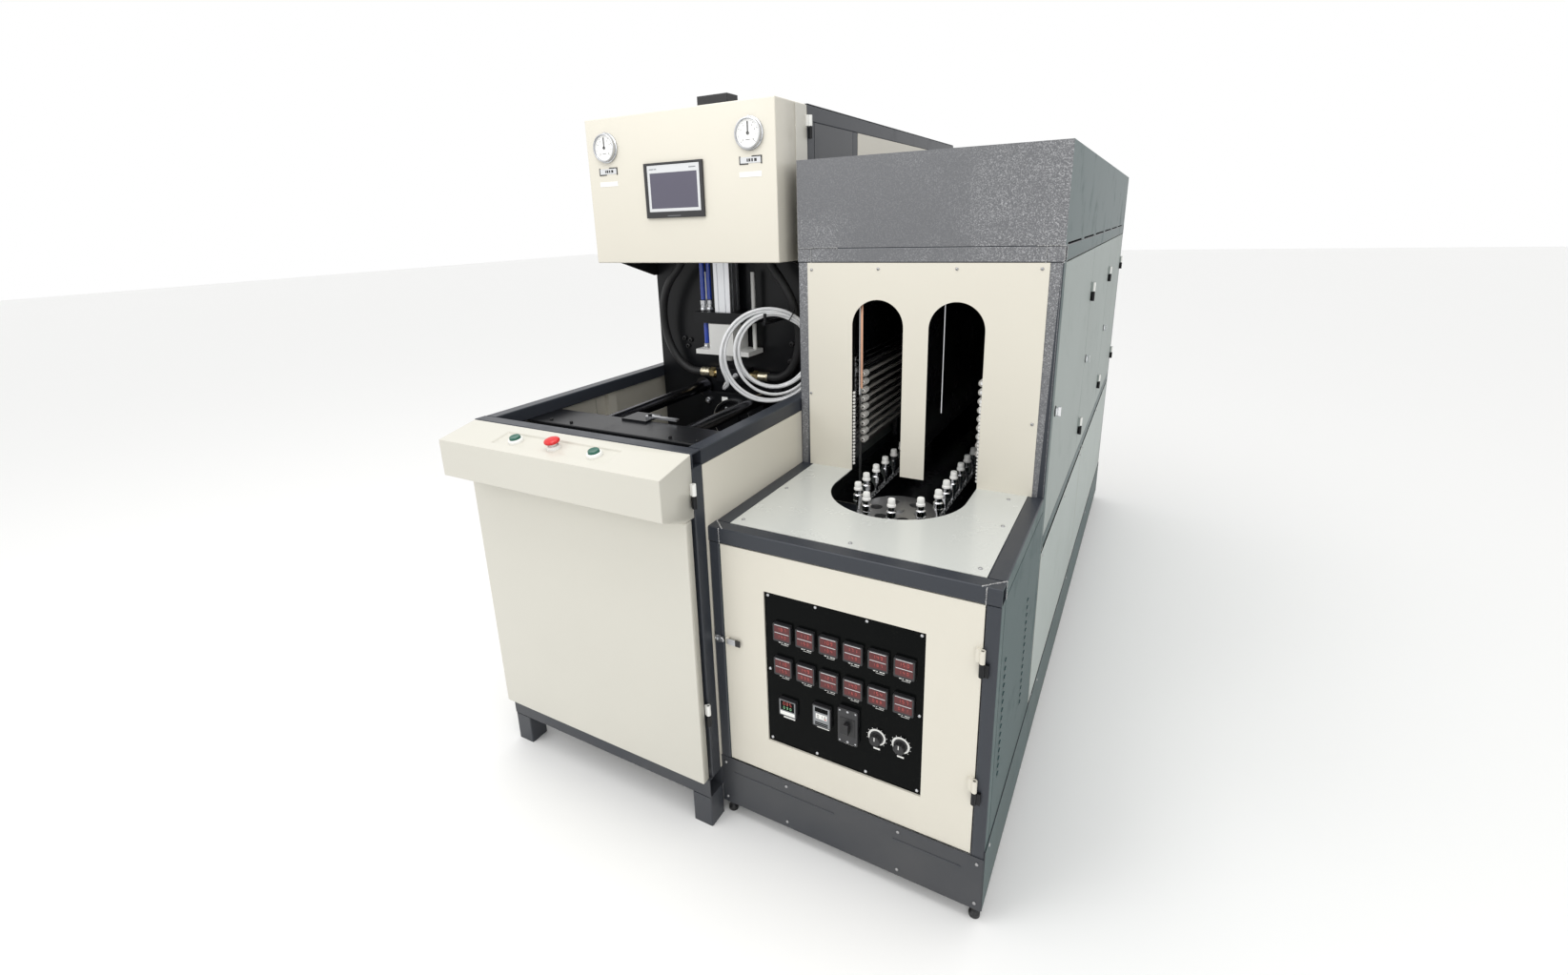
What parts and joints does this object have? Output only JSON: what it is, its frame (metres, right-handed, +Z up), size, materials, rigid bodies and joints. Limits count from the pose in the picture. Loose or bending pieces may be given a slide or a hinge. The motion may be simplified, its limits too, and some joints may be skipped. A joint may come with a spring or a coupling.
{
  "type": "stretch blow moulding machine",
  "caption": "Semi-automatic stretch blow moulding machine: a blowing station with a clamp, air lines and push buttons beside a preform heater with a chain oven and hinged doors.",
  "frame": {"origin": "on the floor, at the middle of the plan of the two cabinets", "axes": "+Z up; -Y faces the person at the buttons; +X goes from the blowing station to the heater"},
  "size_m": [1.464, 3.01, 1.96],
  "materials": {
    "aluminium": "anodised",
    "bar_chrome": "polished",
    "black_plastic": "matte",
    "black_steel": "satin",
    "blue_tube": "gloss",
    "bright_steel": "brushed",
    "clear_hose": "clear, slightly milky",
    "cream_white": "satin",
    "foot_black": "matte",
    "frame_grey": "satin",
    "green_button": "gloss",
    "hammertone_grey": "hammered satin",
    "hose_black": "matte",
    "lamp_quartz": "clear with ceramic ends",
    "motor_green": "satin",
    "needle_black": "matte",
    "panel_black": "gloss",
    "red_button": "gloss",
    "screen_grey": "matte",
    "shelf_grey": "satin",
    "side_green_grey": "gloss",
    "white_block": "satin",
    "white_gauge": "gloss",
    "zinc_steel": "plain"
  },
  "bodies": {
    "machine": {"air_fittings": "bright_steel", "air_hoses": "hose_black", "air_tubes": "blue_tube", "base_skirt": "frame_grey", "blower_frame": "frame_grey", "blower_sheets": "cream_white", "cabinet_dark_panels": "frame_grey", "clamp_cylinder": "bright_steel", "conveyor_chain": "zinc_steel", "cylinder_bracket": "black_steel", "cylinder_carrier": "black_steel", "drive_motor": "motor_green", "front_platen": "black_steel", "heater_feet": "foot_black", "heater_frame": "frame_grey", "heater_hood": "hammertone_grey", "heater_sheets": "cream_white", "heating_lamps": "lamp_quartz", "hinge_knuckles": "black_steel", "hose_coil": "clear_hose", "hose_lead": "clear_hose", "latch_keeper": "bright_steel", "louvre_panel": "side_green_grey", "oven_racks": "bright_steel", "preform_holders": "bright_steel", "seal_cylinder": "aluminium", "shelf_plate": "shelf_grey", "station_back_plate": "black_steel", "tie_bars": "black_steel", "top_cylinder_cap": "black_steel", "tower_panel": "cream_white"},
    "blower_door": {"blower_front_door": "cream_white"},
    "start_button_left": {"start_button_left": "green_button"},
    "start_button_right": {"start_button_right": "green_button"},
    "emergency_button": {"emergency_button": "red_button"},
    "head_cover": {"head_cover": "cream_white", "touch_screen": "screen_grey", "gauge_cases": "white_gauge"},
    "gauge_needle_left": {"gauge_needle_left": "needle_black"},
    "gauge_needle_right": {"gauge_needle_right": "needle_black"},
    "seal_head": {"seal_head": "white_block"},
    "stretch_rod": {"stretch_rod": "bar_chrome"},
    "moving_platen": {"moving_platen": "black_steel"},
    "mould_latch": {"mould_latch": "bright_steel"},
    "heater_door": {"heater_front_door": "cream_white", "control_panel": "panel_black", "panel_instruments": "black_plastic", "main_breaker": "white_block"},
    "latch_lever": {"latch_lever": "bright_steel"},
    "breaker_lever": {"breaker_lever": "black_plastic"},
    "knob_left": {"knob_left": "black_plastic"},
    "knob_right": {"knob_right": "black_plastic"},
    "side_door_front": {"side_door_front": "cream_white"},
    "side_door_middle": {"side_door_middle": "cream_white"},
    "side_door_rear": {"side_door_rear": "cream_white"},
    "side_lock_front": {"side_lock_front": "bright_steel"},
    "side_lock_middle": {"side_lock_middle": "bright_steel"},
    "side_lock_rear": {"side_lock_rear": "bright_steel"},
    "chain_wheel_front": {"chain_wheel_front": "zinc_steel"},
    "chain_wheel_rear": {"chain_wheel_rear": "zinc_steel"}
  },
  "joints": [
    {"name": "blower_door_hinge", "type": "hinge", "parent": "machine", "child": "blower_door", "pos_m": [0.032, -1.392, 0.533], "axis": [0, 0, 1], "range_deg": [0, 100]},
    {"name": "start_left_press", "type": "slide", "parent": "blower_door", "child": "start_button_left", "axis": [0, 0.1977, -0.9803], "range_m": [0, 0.004], "stiffness_N_per_m": 300, "springref_m": -0.003},
    {"name": "start_right_press", "type": "slide", "parent": "blower_door", "child": "start_button_right", "axis": [0, 0.1977, -0.9803], "range_m": [0, 0.004], "stiffness_N_per_m": 300, "springref_m": -0.003},
    {"name": "stop_press", "type": "slide", "parent": "blower_door", "child": "emergency_button", "axis": [0, 0.1977, -0.9803], "range_m": [0, 0.004], "stiffness_N_per_m": 400, "springref_m": -0.003},
    {"name": "head_cover_hinge", "type": "hinge", "parent": "machine", "child": "head_cover", "pos_m": [-0.005, -0.668, 1.681], "axis": [0, 0, 1], "range_deg": [0, 12]},
    {"name": "gauge_left_turn", "type": "hinge", "parent": "head_cover", "child": "gauge_needle_left", "pos_m": [-0.609, -0.876, 1.81], "axis": [0, 1, 0], "range_deg": [0, 270]},
    {"name": "gauge_right_turn", "type": "hinge", "parent": "head_cover", "child": "gauge_needle_right", "pos_m": [-0.095, -0.876, 1.81], "axis": [0, 1, 0], "range_deg": [0, 270]},
    {"name": "seal_down", "type": "slide", "parent": "machine", "child": "seal_head", "axis": [0, 0, -1], "range_m": [0, 0.026]},
    {"name": "stretch_down", "type": "slide", "parent": "machine", "child": "stretch_rod", "axis": [0, 0, -1], "range_m": [0, 0.028]},
    {"name": "clamp_close", "type": "slide", "parent": "machine", "child": "moving_platen", "axis": [0, -1, 0], "range_m": [0, 0.35]},
    {"name": "mould_latch_turn", "type": "hinge", "parent": "machine", "child": "mould_latch", "pos_m": [-0.338, -1.084, 1.038], "axis": [0, 0, 1], "range_deg": [-60, 90]},
    {"name": "heater_door_hinge", "type": "hinge", "parent": "machine", "child": "heater_door", "pos_m": [0.695, -1.343, 0.532], "axis": [0, 0, 1], "range_deg": [0, 110]},
    {"name": "latch_turn", "type": "hinge", "parent": "heater_door", "child": "latch_lever", "pos_m": [0.068, -1.339, 0.559], "axis": [0, 0, -1], "range_deg": [0, 120]},
    {"name": "breaker_throw", "type": "hinge", "parent": "heater_door", "child": "breaker_lever", "pos_m": [0.397, -1.3345, 0.424], "axis": [1, 0, 0], "range_deg": [-10, 10]},
    {"name": "knob_left_turn", "type": "hinge", "parent": "heater_door", "child": "knob_left", "pos_m": [0.466, -1.336, 0.414], "axis": [0, 1, 0], "range_deg": [0, 270]},
    {"name": "knob_right_turn", "type": "hinge", "parent": "heater_door", "child": "knob_right", "pos_m": [0.524, -1.336, 0.414], "axis": [0, 1, 0], "range_deg": [0, 270]},
    {"name": "side_door_front_hinge", "type": "hinge", "parent": "machine", "child": "side_door_front", "pos_m": [0.732, -0.03867, 1.08], "axis": [0, 0, 1], "range_deg": [0, 100]},
    {"name": "side_lock_front_turn", "type": "hinge", "parent": "side_door_front", "child": "side_lock_front", "pos_m": [0.725, -0.747, 1.083], "axis": [1, 0, 0], "range_deg": [0, 90]},
    {"name": "side_door_middle_hinge", "type": "hinge", "parent": "machine", "child": "side_door_middle", "pos_m": [0.732, 0.70967, 1.08], "axis": [0, 0, 1], "range_deg": [0, 100]},
    {"name": "side_lock_middle_turn", "type": "hinge", "parent": "side_door_middle", "child": "side_lock_middle", "pos_m": [0.725, 0.00133, 1.083], "axis": [1, 0, 0], "range_deg": [0, 90]},
    {"name": "side_door_rear_hinge", "type": "hinge", "parent": "machine", "child": "side_door_rear", "pos_m": [0.732, 1.458, 1.08], "axis": [0, 0, 1], "range_deg": [0, 100]},
    {"name": "side_lock_rear_turn", "type": "hinge", "parent": "side_door_rear", "child": "side_lock_rear", "pos_m": [0.725, 0.74967, 1.083], "axis": [1, 0, 0], "range_deg": [0, 90]},
    {"name": "chain_wheel_front_spin", "type": "hinge", "parent": "machine", "child": "chain_wheel_front", "pos_m": [0.372, -0.932, 0.8], "axis": [0, 0, 1], "continuous": true},
    {"name": "chain_wheel_rear_spin", "type": "hinge", "parent": "machine", "child": "chain_wheel_rear", "pos_m": [0.372, 1.204, 0.8], "axis": [0, 0, 1], "continuous": true}
  ],
  "couplings": [
    {"joint": "chain_wheel_rear_spin", "follows": "chain_wheel_front_spin", "ratio": 1}
  ]
}
